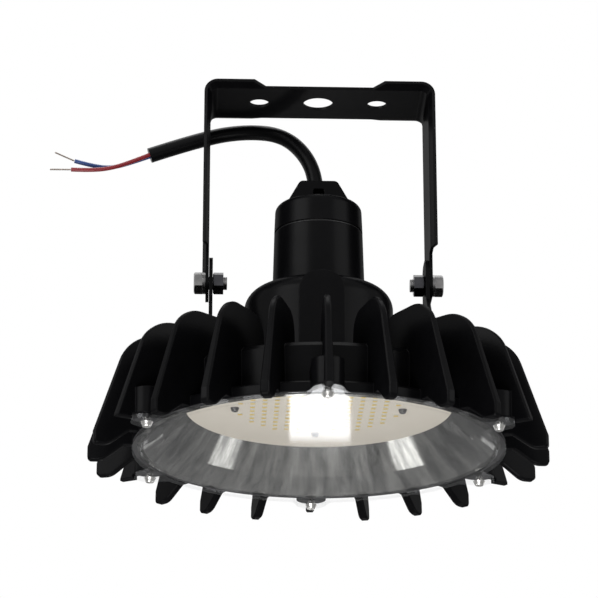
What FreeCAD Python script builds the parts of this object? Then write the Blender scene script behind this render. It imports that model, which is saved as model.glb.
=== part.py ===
"""High bay light: a finned cast heat sink hung in a pressed steel yoke.

Millimetres, +Z up.  The origin is the centre of the yoke's middle fixing hole, on the
upper face of its top plate.  X runs along the plate and the tilt axis, Y across it.
The lamp hangs below with its clear cover facing down.
"""
import FreeCAD, Part
import math
import os
import Sketcher
from FreeCAD import Rotation, Vector

SIZES = [
    # yoke
    ("YokeDrop", 124.5, "top face of the yoke to the tilt axis"),
    ("YokeInside", 136.8, "between the inner faces of the legs"),
    ("YokeThick", 2.0, "steel strip"),
    ("YokeWidth", 46.0, "strip, between its turned lips"),
    ("YokeBend", 6.5, "outer radius of the two bends"),
    ("LipReach", 5.6, "how far a lip stands out sideways"),
    ("LipRise", 2.1, "how far a lip turns outwards"),
    ("LipStart", 34.0, "middle of the plate to the start of a lip"),
    ("LipTaper", 7.0, "length over which a lip fades out"),
    ("LegShoulder", 17.0, "tilt axis up to where the leg narrows"),
    ("TongueWidth", 26.0, "narrow end of a leg or bracket"),
    ("TongueEnd", 10.0, "tilt axis to the end of the leg"),
    ("MainHole", 19.0, "middle fixing hole"),
    ("SideHole", 12.5, "outer fixing holes"),
    ("SideHoleReach", 37.5, "middle hole to an outer hole"),
    # tilt bolts
    ("PivotRise", 109.0, "front of the clear cover to the tilt axis"),
    ("PivotBore", 8.4, "holes for the tilt bolts"),
    ("BoltSize", 8.0, "shank of a tilt bolt"),
    ("BoltFlats", 12.5, "across the flats of its head and nut"),
    ("BoltHead", 5.3, "thickness of the head"),
    ("BoltTail", 2.3, "thread past the nut"),
    ("NutThick", 6.5, "tilt nut"),
    ("SpringWasher", 2.0, "thickness of a spring washer"),
    ("SpringWasherSize", 13.6, "outer diameter of a spring washer"),
    ("TurnGap", 0.15, "running clearance each side of a bracket"),
    # brackets
    ("BracketThick", 2.3, "bracket plate"),
    ("BracketWidth", 48.0, "bracket at its foot"),
    ("BracketRise", 15.0, "tilt axis to the top of a bracket"),
    ("BracketShoulder", 13.0, "tilt axis down to where a bracket is full width"),
    ("ToeGap", 0.75, "clearance between a bracket's foot and the hub"),
    ("BracketFoot", "=YokeInside / 2 - TurnGap - BracketThick - HubRadius - ToeGap",
     "length of the turned foot"),
    ("BracketBend", 4.0, "outer radius of the foot's bend"),
    ("FootScrewPitch", 26.0, "between the two screws of a foot"),
    ("FootScrewSize", 5.0, "foot screw"),
    ("FootScrewDepth", 6.0, "how far it goes into the casting"),
    # heat sink
    ("RimRise", 3.4, "front of the cover to the casting's rim"),
    ("DrumRadius", 102.0, "outer wall below the ledge"),
    ("RimWidth", 11.5, "how far the rim stands out from the outer wall"),
    ("RimRadius", "=DrumRadius + RimWidth", "outer radius of the rim"),
    ("RimTop", 10.0, "front of the cover to the top of the rim"),
    ("DrumWall", 2.2, "that wall's thickness"),
    ("RimBevel", 1.2, "bevelled upper edge of the rim"),
    ("LedgeBevel", 3.0, "bevelled edge of the ledge"),
    ("FloorRise", 30.0, "front of the cover to the floor that carries the board"),
    ("FloorThick", 8.0, "floor"),
    ("LedgeRise", "=FloorRise + FloorThick", "front of the cover to the ledge"),
    ("HubRadius", 46.2, "tall middle drum"),
    ("HubTop", 103.0, "front of the cover to the top of the hub"),
    ("HubRound", 12.0, "rounded shoulder of the hub"),
    ("HubWall", 4.5, "wall of the hub"),
    ("FinCount", 24, "fins"),
    ("FinOverhang", 11.3, "how far a fin stands out past the ears"),
    ("FinReach", "=EarCircle + EarRadius + FinOverhang", "axis to the outer edge of a fin"),
    ("FinTop", 64.4, "front of the cover to the top of a fin"),
    ("FinFoot", 6.5, "how far a fin reaches below the front of the cover"),
    ("FinSkirt", 2.0, "front of the cover to where a fin's outer edge starts to lean in"),
    ("FinHeel", 9.0, "flat lower end of a fin"),
    ("FinHeelRound", 10.0, "rounded inner corner of that end"),
    ("FinToeRound", 2.6, "rounded outer corner of that end"),
    ("FinClear", 4.5, "clearance between a fin's foot and the edge of the cover"),
    ("EarFinFoot", 0.6, "front of the cover to the foot of a fin that stands over an ear"),
    ("EarClear", 1.0, "clearance between that foot and the ear"),
    ("FinSlope", 0.33, "lean of a fin's outer edge"),
    ("FinShoulder", "=FinReach - FinSlope * (FinTop - FinSkirt)",
     "axis to where the slope would meet the top"),
    ("FinInnerGap", 0.5, "clearance between the fins and the brackets"),
    ("FinInner", "=sqrt(YokeInside ^ 2 + BracketWidth ^ 2) / 2 + FinInnerGap",
     "axis to the inner edge of a fin"),
    ("FinRound", 24.0, "rounded outer corner of a fin's top"),
    ("FinInnerRound", 13.0, "rounded inner corner of a fin's top"),
    ("FinThick", 5.6, "fin at its foot"),
    ("FinDraft", 0.0157, "casting draft of a fin's sides, slope"),
    ("FinEdge", 0.9, "bevelled edges of a fin"),
    ("EarStand", 6.5, "rim to the circle of the cover screws"),
    ("EarCircle", "=RimRadius + EarStand", "axis to a cover screw"),
    ("EarRadius", 9.5, "round ear at a cover screw"),
    ("EarCount", 6, "cover screws"),
    ("BossTop", 19.5, "front of the cover to the top of a screw boss"),
    ("PanelHalf", 13.8, "half width of the raised panel on the hub"),
    ("PanelDrop", 1.3, "top of the hub to the panel's arched top"),
    ("PanelTop", "=HubTop - PanelDrop", "front of the cover to that arched top"),
    ("PanelStand", 1.4, "how far the panel stands out"),
    ("WireHole", 9.0, "hole in the floor for the board lead"),
    # optics
    ("BoardRadius", 84.0, "light board"),
    ("BoardThick", 1.6, "light board"),
    ("SheetThick", 0.4, "thermal sheet behind the board"),
    ("BoardScrewCircle", 51.5, "axis to a board screw"),
    ("BoardScrewSize", 3.0, "board screw"),
    ("ChipPitch", 7.4, "between light chips"),
    ("ChipSize", 3.0, "side of a light chip"),
    ("ChipThick", 0.7, "light chip"),
    ("ChipField", 51.0, "radius filled with chips"),
    ("SealWidth", 2.6, "cover seal"),
    ("SealGap", 0.15, "clearance on each side of the cover seal"),
    ("ReflectorRim", "=RimRadius - SealWidth - 2 * SealGap", "outer edge of the reflector's flat rim"),
    ("ReflectorLip", 3.6, "width of that rim"),
    ("ReflectorMouth", "=ReflectorRim - ReflectorLip", "reflector at its wide end"),
    ("MouthPlay", 0.5, "clearance round the reflector"),
    ("ReflectorLap", 2.0, "how far the reflector laps over the board"),
    ("ReflectorNeck", "=BoardRadius - ReflectorLap", "reflector at the board"),
    ("WaistStep", 11.5, "mouth of the reflector to its waist"),
    ("ReflectorWaist", "=ReflectorMouth - WaistStep", "reflector part of the way up"),
    ("ReflectorWaistRise", 12.0, "front of the cover to that waist"),
    ("ReflectorWall", 0.8, "spun sheet"),
    ("CoverThick", 2.6, "clear cover"),
    ("CoverProud", 0.5, "how far the cover stands out past the rim"),
    ("CoverRadius", "=RimRadius + CoverProud", "clear cover between its ears"),
    ("CoverLand", 1.0, "edge of the window to the reflector's mouth"),
    ("CoverWindow", "=ReflectorMouth + CoverLand", "flat window of the cover"),
    ("CoverSink", 0.8, "how far the window is set in"),
    ("CoverScrewSize", 4.0, "cover screw"),
    ("CoverScrewHead", 7.6, "head of a cover screw"),
    ("CoverScrewHeadRise", 2.4, "height of that head"),
    # driver housing and cap
    ("NeckFoot", 28.7, "driver housing at its lower end"),
    ("NeckHead", 27.7, "driver housing at its upper end"),
    ("NeckHeight", 38.4, "top of the hub to the housing's upper end"),
    ("NeckTop", "=HubTop + NeckHeight", "front of the cover to its upper end"),
    ("NeckWall", 3.0, "its wall"),
    ("SealThick", 1.2, "rubber seals above and below it"),
    ("SealInset", 0.9, "how far those seals lie in"),
    ("SpigotRadius", 23.6, "spigot that centres it in the hub"),
    ("SpigotPlay", 0.3, "clearance round the spigots"),
    ("SpigotDepth", 7.0, "length of the spigots that centre it"),
    ("CapShoulder", 27.0, "cap at its rounded shoulder"),
    ("CapHeight", 19.1, "housing to the cap's flat top"),
    ("CapTop", "=NeckTop + CapHeight", "front of the cover to the cap's flat top"),
    ("CapRound", 4.5, "rounded shoulder of the cap"),
    ("LugHeight", 16.0, "lug above the cap's flat top"),
    ("LugTop", "=CapTop + LugHeight", "front of the cover to the top of the lug"),
    ("LugFoot", 21.4, "half width of the lug where it leaves the cap"),
    ("LugHead", 11.6, "half width of the lug near its top"),
    ("LugRound", 3.5, "rounded corners of the lug"),
    ("LugThick", 12.0, "lug"),
    ("EyeWidth", 9.0, "eye in the lug, at its wide lower end"),
    ("EyeNarrow", 6.4, "eye at its upper end"),
    ("EyeLift", 2.3, "flat top of the cap to the lower end of the eye"),
    ("EyeFoot", "=CapTop + EyeLift", "front of the cover to the lower end of the eye"),
    ("EyeCrown", 5.5, "upper end of the eye to the top of the lug"),
    ("EyeTop", "=LugTop - EyeCrown", "front of the cover to the upper end of the eye"),
    # cable entry
    ("EntryOffset", 14.6, "axis to the cable entry, behind the lug"),
    ("EntryHeight", 4.5, "entry boss above the cap's flat top"),
    ("EntryTop", "=CapTop + EntryHeight", "front of the cover to the top of the entry boss"),
    ("EntryRadius", 7.8, "entry boss"),
    ("BushRadius", 7.0, "rubber bush that grips the cable"),
    ("BushHeight", 7.0, "bush above the entry boss"),
    ("BushTop", "=EntryTop + BushHeight", "front of the cover to the top of the bush"),
    ("CableSize", 9.8, "outer sheath"),
    ("CoreSize", 2.7, "insulated core"),
    ("TipSize", 1.1, "bared conductor"),
    # driver
    ("DriverWidth", 36.0, "driver board"),
    ("DriverBoard", 1.6, "driver board"),
    ("HolderHeight", 8.0, "holder below the driver board"),
    ("DriverFoot", "=LedgeRise + HolderHeight", "front of the cover to the lower edge of the driver board"),
    ("DriverDrop", 5.4, "driver board to the top of its housing"),
    ("DriverHead", "=NeckTop - DriverDrop", "front of the cover to its upper edge"),
    ("LeadSize", 5.0, "lead from the driver to the light board"),
]

doc = FreeCAD.newDocument("HighBayLight")
sheet = doc.addObject("Spreadsheet::Sheet", "Size")
for row, (alias, number, meaning) in enumerate(SIZES, start=1):
    sheet.set("A%d" % row, alias)
    sheet.set("B%d" % row, str(number))
    sheet.set("C%d" % row, meaning)
    sheet.setAlias("B%d" % row, alias)
doc.recompute()

COVER = "-(Size.YokeDrop + Size.PivotRise)"      # height of the cover's front face
nodes = []


def size(alias):
    """Return one driving dimension as a plain number."""
    return float(sheet.get(alias))


def keep(thing, name):
    """Give a finished sub-part its label and list it for export."""
    thing.Label = name
    nodes.append(thing)
    return thing


def seat(thing, rise="0", across="0", along="0"):
    """Place a sub-part: rise is measured from the cover's front face."""
    thing.setExpression("Placement.Base.x", across)
    thing.setExpression("Placement.Base.y", along)
    thing.setExpression("Placement.Base.z", COVER + " + " + rise)
    return thing


def new_body(name):
    return doc.addObject("PartDesign::Body", name)


def new_sketch(body, name, role, offset=None):
    """Lay a sketch on one of the body's own origin planes."""
    plane = next(flat for flat in body.Origin.OriginFeatures if flat.Role == role)
    drawing = body.newObject("Sketcher::SketchObject", name)
    drawing.AttachmentSupport = (plane, "")
    drawing.MapMode = "FlatFace"
    if offset is not None:
        drawing.setExpression("AttachmentOffset.Base.z", offset)
    return drawing


def hold(drawing, edge, end, across, up):
    """Bind one end of an edge to the sheet, measured from the sketch's origin."""
    drawn = drawing.getPoint(edge, end)
    for kind, place, now in (("DistanceX", across, drawn.x), ("DistanceY", up, drawn.y)):
        number = drawing.addConstraint(Sketcher.Constraint(kind, -1, 1, edge, end, now))
        drawing.setExpression("Constraints[%d]" % number, place)


def outline(drawing, corners):
    """Draw a closed outline through corners given as pairs of expressions."""
    count = len(corners)
    first = drawing.GeometryCount
    ring = [Vector(math.cos(2 * math.pi * step / count), math.sin(2 * math.pi * step / count), 0)
            for step in range(count)]
    for step in range(count):
        drawing.addGeometry(Part.LineSegment(ring[step], ring[(step + 1) % count]), False)
    for step in range(count):
        after = first + (step + 1) % count
        drawing.addConstraint(Sketcher.Constraint("Coincident", first + step, 2, after, 1))
    for step, (across, up) in enumerate(corners):
        hold(drawing, first + step, 1, across, up)
    return drawing


def circle(drawing, across, up, radius):
    """Draw a circle whose centre and radius are bound to the sheet."""
    edge = drawing.addGeometry(Part.Circle(Vector(0, 0, 0), Vector(0, 0, 1), 1.0), False)
    hold(drawing, edge, 3, across, up)
    number = drawing.addConstraint(Sketcher.Constraint("Radius", edge, 1.0))
    drawing.setExpression("Constraints[%d]" % number, radius)
    return drawing


def revolve(body, name, corners, cut=False):
    """Turn an outline of (radius, height) pairs about the body's upright axis."""
    drawing = outline(new_sketch(body, name + "_outline", "XZ_Plane"), corners)
    kind = "PartDesign::Groove" if cut else "PartDesign::Revolution"
    feature = body.newObject(kind, name)
    feature.Profile = drawing
    feature.ReferenceAxis = (drawing, ["V_Axis"])
    feature.Angle = 360.0
    return feature


def pad(body, name, drawing, length, middle=False, back=False):
    feature = body.newObject("PartDesign::Pad", name)
    feature.Profile = drawing
    feature.setExpression("Length", length)
    feature.Midplane = middle
    feature.Reversed = back
    return feature


def pocket(body, name, drawing, length, middle=False, back=False):
    feature = body.newObject("PartDesign::Pocket", name)
    feature.Profile = drawing
    feature.setExpression("Length", length)
    feature.Midplane = middle
    feature.Reversed = back
    return feature


def repeat(body, name, originals, count):
    """Repeat features evenly round the body's upright axis."""
    feature = body.newObject("PartDesign::PolarPattern", name)
    feature.Originals = originals
    feature.Axis = (originals[0].Profile[0], ["N_Axis"])
    feature.Angle = 360.0
    feature.setExpression("Occurrences", count)
    body.Tip = feature
    return feature


def mirror(body, name, originals, role):
    plane = next(flat for flat in body.Origin.OriginFeatures if flat.Role == role)
    feature = body.newObject("PartDesign::Mirrored", name)
    feature.Originals = originals
    feature.MirrorPlane = (plane, [""])
    body.Tip = feature
    return feature


def round_off(body, base, name, radius, wanted):
    """Round the edges of a feature that the test picks out."""
    doc.recompute()
    picked = ["Edge%d" % (place + 1) for place, edge in enumerate(base.Shape.Edges) if wanted(edge)]
    feature = body.newObject("PartDesign::Fillet", name)
    feature.Base = (base, picked)
    feature.setExpression("Radius", radius)
    return feature


def at_circle(edge, radius, height, slack=0.01):
    """True for a full circle or arc about the upright axis with this radius and height."""
    curve = edge.Curve
    if not isinstance(curve, Part.Circle):
        return False
    return (abs(curve.Radius - radius) < slack and abs(curve.Center.z - height) < slack
            and math.hypot(curve.Center.x, curve.Center.y) < slack)


def turned(name, corners):
    """A plain turned sub-part."""
    body = new_body(name)
    revolve(body, name + "_turn", corners)
    return body


def cylinder(name, radius, height):
    solid = doc.addObject("Part::Cylinder", name)
    solid.setExpression("Radius", radius)
    solid.setExpression("Height", height)
    return solid


def fuse(name, pieces):
    joined = doc.addObject("Part::MultiFuse", name)
    joined.Shapes = pieces
    return joined


def cut(name, base, tool):
    result = doc.addObject("Part::Cut", name)
    result.Base = base
    result.Tool = tool
    return result


def common(name, pieces):
    result = doc.addObject("Part::MultiCommon", name)
    result.Shapes = pieces
    return result


def group(name, pieces):
    """Separate solids that share one node."""
    result = doc.addObject("Part::Compound", name)
    result.Links = pieces
    return result


# ---- yoke ----------------------------------------------------------------------------------
def leg_end_cutters(body, name, inner, low, high):
    """Cut away both sides of a leg below its shoulder, leaving a narrow tongue."""
    cutters = []
    for side in (1, -1):
        across = "%d * (%s)" % (side, inner)
        outer = "%d * (Size.YokeWidth + Size.LipReach)" % side
        drawing = outline(new_sketch(body, "%s_sketch_%d" % (name, len(cutters)), "YZ_Plane"),
                          [(across, low), (outer, low), (outer, high), (across, high)])
        cutters.append(pocket(body, "%s_%d" % (name, len(cutters)), drawing,
                              "2 * Size.YokeInside", middle=True))
    return cutters


def make_yoke():
    body = new_body("yoke_body")
    outside = "(Size.YokeInside / 2 + Size.YokeThick)"
    inside = "(Size.YokeInside / 2)"
    foot = "-(Size.YokeDrop + Size.TongueEnd)"
    strip = outline(new_sketch(body, "yoke_strip_outline", "XZ_Plane"), [
        ("-" + outside, "0"), (outside, "0"), (outside, foot), (inside, foot),
        (inside, "-Size.YokeThick"), ("-" + inside, "-Size.YokeThick"),
        ("-" + inside, foot), ("-" + outside, foot)])
    folded = pad(body, "yoke_strip", strip, "Size.YokeWidth", middle=True)

    def along_plate(edge, height):
        ends = [vertex.Point for vertex in edge.Vertexes]
        return all(abs(end.z - height) < 0.01 for end in ends) and ends[0].distanceToPoint(ends[-1]) > 1

    def across_strip(edge):
        ends = [vertex.Point for vertex in edge.Vertexes]
        return abs(abs(ends[0].y - ends[-1].y) - size("YokeWidth")) < 0.01

    outer_bend = round_off(body, folded, "yoke_outer_bend", "Size.YokeBend",
                           lambda edge: across_strip(edge) and along_plate(edge, 0.0))
    inner_bend = round_off(body, outer_bend, "yoke_inner_bend", "Size.YokeBend - Size.YokeThick",
                           lambda edge: across_strip(edge) and along_plate(edge, -size("YokeThick"))
                           and abs(abs(edge.Vertexes[0].X) - size("YokeInside") / 2) < 0.01)
    add_lips(body)
    leg_end_cutters(body, "leg_end", "Size.TongueWidth / 2", "-(Size.YokeDrop + 2 * Size.TongueEnd)",
                    "-(Size.YokeDrop - Size.LegShoulder)")
    holes = new_sketch(body, "fixing_holes_sketch", "XY_Plane")
    circle(holes, "0", "0", "Size.MainHole / 2")
    circle(holes, "Size.SideHoleReach", "0", "Size.SideHole / 2")
    circle(holes, "-Size.SideHoleReach", "0", "Size.SideHole / 2")
    pocket(body, "fixing_holes", holes, "4 * Size.YokeThick", middle=True)
    bores = new_sketch(body, "leg_bores_sketch", "YZ_Plane")
    circle(bores, "0", "-Size.YokeDrop", "Size.PivotBore / 2")
    bored = pocket(body, "leg_bores", bores, "2 * Size.YokeInside", middle=True)
    low = -size("YokeDrop") - size("TongueEnd")
    round_off(body, bored, "leg_end_round", "0.7 * Size.TongueEnd",
              lambda edge: all(abs(vertex.Z - low) < 0.01 for vertex in edge.Vertexes)
              and abs(edge.Vertexes[0].X - edge.Vertexes[-1].X) > 0.5 * size("YokeThick"))
    return keep(body, "yoke")


def add_lips(body):
    """Turned lips along both edges of the strip, from the plate round each bend to the leg."""
    outer = size("YokeInside") / 2 + size("YokeThick")
    bend = size("YokeBend")
    low = -(size("YokeDrop") - size("LegShoulder"))
    pipes = []
    for side in (1, -1):
        path = new_sketch(body, "lip_path_%d" % len(pipes), "XZ_Plane")
        path.addGeometry(Part.LineSegment(Vector(size("LipStart"), 0, 0), Vector(outer - bend, 0, 0)), False)
        centre = Vector(outer - bend, -bend, 0)
        path.addGeometry(Part.ArcOfCircle(Part.Circle(centre, Vector(0, 0, 1), bend), 0, math.pi / 2), False)
        path.addGeometry(Part.LineSegment(Vector(outer, -bend, 0), Vector(outer, low, 0)), False)
        hold(path, 0, 1, "Size.LipStart", "0")
        hold(path, 0, 2, "Size.YokeInside / 2 + Size.YokeThick - Size.YokeBend", "0")
        hold(path, 2, 1, "Size.YokeInside / 2 + Size.YokeThick", "-Size.YokeBend")
        hold(path, 2, 2, "Size.YokeInside / 2 + Size.YokeThick", "-(Size.YokeDrop - Size.LegShoulder)")
        path.addConstraint(Sketcher.Constraint("Coincident", 0, 2, 1, 2))
        path.addConstraint(Sketcher.Constraint("Coincident", 1, 1, 2, 1))
        turn = path.addConstraint(Sketcher.Constraint("Radius", 1, bend))
        path.setExpression("Constraints[%d]" % turn, "Size.YokeBend")
        root = "%d * (Size.YokeWidth / 2 - 0.2 * Size.YokeThick)" % side
        edge = "%d * (Size.YokeWidth / 2 + Size.LipReach)" % side
        under = "%d * (Size.YokeWidth / 2 + Size.LipReach + 0.3 * Size.YokeThick)" % side
        section = outline(new_sketch(body, "lip_section_%d" % len(pipes), "YZ_Plane", "Size.LipStart"), [
            (root, "-Size.YokeThick"), (under, "Size.LipRise - Size.YokeThick"),
            (edge, "Size.LipRise"), (root, "0")])
        pipe = body.newObject("PartDesign::AdditivePipe", "lip_%d" % len(pipes))
        pipe.Profile = section
        pipe.Spine = path
        pipes.append(pipe)
    fades = []
    for side in (1, -1):
        root = "%d * Size.YokeWidth / 2" % side
        far = "%d * (Size.YokeWidth / 2 + 2 * Size.LipReach)" % side
        drawing = outline(new_sketch(body, "lip_fade_sketch_%d" % len(fades), "XY_Plane"), [
            ("Size.LipStart - 1", root), ("Size.LipStart", root),
            ("Size.LipStart + 2 * Size.LipTaper", far), ("Size.LipStart - 1", far)])
        fades.append(pocket(body, "lip_fade_%d" % len(fades), drawing, "8 * Size.YokeThick", middle=True))
    mirror(body, "lips_other_leg", pipes + fades, "YZ_Plane")


yoke = make_yoke()


# ---- brackets, tilt bolts and their fasteners --------------------------------------------------
FOOT_SCREW_REACH = "Size.YokeInside / 2 - Size.BracketThick - Size.BracketFoot / 2"
BOLT_SHANK = ("Size.SpringWasher + Size.YokeThick + 2 * Size.TurnGap + Size.BracketThick"
              " + Size.NutThick + Size.BoltTail")


def make_bracket(name, side):
    """An L of plate: an upright with the tilt bore, and a foot turned in under the hub."""
    body = new_body(name + "_body")
    outside = "%d * (Size.YokeInside / 2 - Size.TurnGap)" % side
    inside = "%d * (Size.YokeInside / 2 - Size.TurnGap - Size.BracketThick)" % side
    toe = "%d * (Size.YokeInside / 2 - Size.TurnGap - Size.BracketThick - Size.BracketFoot)" % side
    sole = COVER + " + Size.LedgeRise"
    head = "-(Size.YokeDrop - Size.BracketRise)"
    plate = outline(new_sketch(body, name + "_outline", "XZ_Plane"), [
        (outside, head), (outside, sole), (toe, sole), (toe, sole + " + Size.BracketThick"),
        (inside, sole + " + Size.BracketThick"), (inside, head)])
    bent = pad(body, name + "_plate", plate, "Size.BracketWidth", middle=True)
    low = -(size("YokeDrop") + size("PivotRise")) + size("LedgeRise")

    def corner(edge, across, height):
        ends = [vertex.Point for vertex in edge.Vertexes]
        return all(abs(abs(end.x) - across) < 0.01 and abs(end.z - height) < 0.01 for end in ends)

    face = size("YokeInside") / 2 - size("TurnGap")
    outer = round_off(body, bent, name + "_outer_bend", "Size.BracketBend",
                      lambda edge: corner(edge, face, low))
    round_off(body, outer, name + "_inner_bend", "Size.BracketBend - Size.BracketThick",
              lambda edge: corner(edge, face - size("BracketThick"), low + size("BracketThick")))
    for flank in (1, -1):
        across = "%d * Size.TongueWidth / 2" % flank
        wide = "%d * (Size.BracketWidth / 2)" % flank
        beyond = "%d * Size.BracketWidth" % flank
        shoulder = "-(Size.YokeDrop + Size.BracketShoulder)"
        slope = shoulder + " - (Size.BracketWidth - Size.TongueWidth) / 2"
        top = "-(Size.YokeDrop - 2 * Size.BracketRise)"
        drawing = outline(new_sketch(body, "%s_flank_%d" % (name, flank + 1), "YZ_Plane"), [
            (across, shoulder), (wide, slope), (beyond, slope), (beyond, top), (across, top)])
        pocket(body, "%s_flank_cut_%d" % (name, flank + 1), drawing, "2 * Size.YokeInside", middle=True)
    bores = new_sketch(body, name + "_bore_sketch", "YZ_Plane")
    circle(bores, "0", "-Size.YokeDrop", "Size.PivotBore / 2")
    pocket(body, name + "_bore", bores, "2 * Size.YokeInside", middle=True)
    screws = new_sketch(body, name + "_foot_holes_sketch", "XY_Plane", sole)
    for flank in (1, -1):
        circle(screws, "%d * (%s)" % (side, FOOT_SCREW_REACH), "%d * Size.FootScrewPitch / 2" % flank,
               "Size.FootScrewSize / 2 + Size.TurnGap")
    drilled = pocket(body, name + "_foot_holes", screws, "4 * Size.BracketThick", middle=True)
    top = -size("YokeDrop") + size("BracketRise")
    round_off(body, drilled, name + "_head_round", "0.6 * Size.BracketRise",
              lambda edge: all(abs(vertex.Z - top) < 0.01 for vertex in edge.Vertexes)
              and abs(edge.Vertexes[0].X - edge.Vertexes[-1].X) > 0.5 * size("BracketThick"))
    return keep(body, name)


def hexagon(name, flats, height, chamfer):
    """A hexagonal block standing on its base plane, its outer corners turned off."""
    prism = doc.addObject("Part::Prism", name + "_prism")
    prism.Polygon = 6
    prism.setExpression("Circumradius", "%s / sqrt(3)" % flats)
    prism.setExpression("Height", height)
    corner = "%s / sqrt(3)" % flats
    turned_form = turned(name + "_form", [
        ("0", "0"), (corner, "0"), (corner, "(%s) - %s / 2" % (height, chamfer)),
        ("%s - %s" % (corner, chamfer), height), ("0", height)])
    return common(name + "_block", [prism, turned_form])


def point_sideways(thing, side, lift="0"):
    """Turn a fastener made along +Z so that it points outwards through a leg."""
    thing.Placement.Rotation = Rotation(Vector(0, 1, 0), 90 * side)
    reach = "%d * (Size.YokeInside / 2 + Size.YokeThick + %s)" % (side, lift)
    thing.setExpression("Placement.Base.x", reach)
    thing.setExpression("Placement.Base.z", "-Size.YokeDrop")
    return thing


def make_tilt_bolt(name, side):
    head = hexagon(name + "_head", "Size.BoltFlats", "Size.BoltHead", "0.12 * Size.BoltFlats")
    shank = cylinder(name + "_shank", "Size.BoltSize / 2", BOLT_SHANK)
    shank.setExpression("Placement.Base.z", "-(%s)" % BOLT_SHANK)
    return keep(point_sideways(fuse(name, [head, shank]), side, "Size.SpringWasher"), name)


def make_tilt_nut(name, side):
    block_form = hexagon(name + "_six", "Size.BoltFlats", "Size.NutThick", "0.12 * Size.BoltFlats")
    bore = cylinder(name + "_bore", "Size.BoltSize / 2", "Size.NutThick")
    nut = cut(name, block_form, bore)
    inward = "-(Size.YokeThick + 2 * Size.TurnGap + Size.BracketThick + Size.NutThick)"
    return keep(point_sideways(nut, side, inward), name)


def make_spring_washer(name, side):
    """A split ring of square section."""
    ring = cut(name + "_ring", cylinder(name + "_disc", "Size.SpringWasherSize / 2", "Size.SpringWasher"),
               cylinder(name + "_bore", "Size.BoltSize / 2", "Size.SpringWasher"))
    split = doc.addObject("Part::Box", name + "_split")
    split.setExpression("Length", "0.35 * Size.SpringWasher")
    split.setExpression("Width", "Size.SpringWasherSize")
    split.setExpression("Height", "3 * Size.SpringWasher")
    split.Placement.Rotation = Rotation(Vector(0, 1, 0), 25)
    split.setExpression("Placement.Base.x", "-Size.SpringWasher / 2")
    split.setExpression("Placement.Base.z", "-Size.SpringWasher")
    return keep(point_sideways(cut(name, ring, split), side), name)


for side_name, side in (("left", -1), ("right", 1)):
    make_bracket(side_name + "_bracket", side)
    make_tilt_bolt(side_name + "_tilt_bolt", side)
    make_tilt_nut(side_name + "_tilt_nut", side)
    make_spring_washer(side_name + "_spring_washer", side)


def make_foot_screws():
    """Two screws through each bracket's foot into the ledge."""
    screws = []
    for side in (1, -1):
        for flank in (1, -1):
            name = "foot_screw_%d" % len(screws)
            head = turned(name + "_head", [
                ("0", "Size.BracketThick"), ("0.9 * Size.FootScrewSize", "Size.BracketThick"),
                ("0.7 * Size.FootScrewSize", "Size.BracketThick + 0.6 * Size.FootScrewSize"),
                ("0", "Size.BracketThick + 0.6 * Size.FootScrewSize")])
            shank = cylinder(name + "_shank", "Size.FootScrewSize / 2",
                             "Size.BracketThick + Size.FootScrewDepth")
            shank.setExpression("Placement.Base.z", "-Size.FootScrewDepth")
            screw = fuse(name, [head, shank])
            seat(screw, "Size.LedgeRise", "%d * (%s)" % (side, FOOT_SCREW_REACH),
                 "%d * Size.FootScrewPitch / 2" % flank)
            screws.append(screw)
    return keep(group("foot_screw_set", screws), "foot_screws")


make_foot_screws()


# ---- heat sink housing: one casting --------------------------------------------------------------
RECESS = "(Size.DrumRadius - Size.DrumWall)"
COVER_SCREW_LENGTH = "(3 * Size.CoverScrewSize)"
MOUTH = "(Size.ReflectorMouth + Size.ReflectorWall + Size.MouthPlay)"


def make_heat_sink_core():
    """The drum with its rim, floor and hollow hub, turned about the lamp's axis."""
    body = new_body("heat_sink_core")
    mouth = "(Size.SpigotRadius + Size.SpigotPlay)"
    hub_inside = "(Size.HubRadius - Size.HubWall)"
    lid = "(Size.HubTop - Size.HubWall)"
    core = revolve(body, "core_turn", [
        ("Size.WireHole / 2", "Size.FloorRise"), (RECESS, "Size.FloorRise"),
        (RECESS, "Size.RimTop"), (MOUTH, "Size.RimRise"),
        ("Size.RimRadius", "Size.RimRise"), ("Size.RimRadius", "Size.RimTop - Size.RimBevel"),
        ("Size.RimRadius - Size.RimBevel", "Size.RimTop"), ("Size.DrumRadius", "Size.RimTop"),
        ("Size.DrumRadius", "Size.LedgeRise - Size.LedgeBevel"),
        ("Size.DrumRadius - Size.LedgeBevel", "Size.LedgeRise"),
        ("Size.HubRadius", "Size.LedgeRise"), ("Size.HubRadius", "Size.HubTop"),
        (mouth, "Size.HubTop"), (mouth, lid), (hub_inside + " - Size.HubRound / 2", lid),
        (hub_inside, lid + " - Size.HubRound / 2"),
        (hub_inside, "Size.LedgeRise"), ("Size.WireHole / 2", "Size.LedgeRise")])
    round_off(body, core, "hub_shoulder", "Size.HubRound",
              lambda edge: at_circle(edge, size("HubRadius"), size("HubTop")))
    return body


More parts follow.
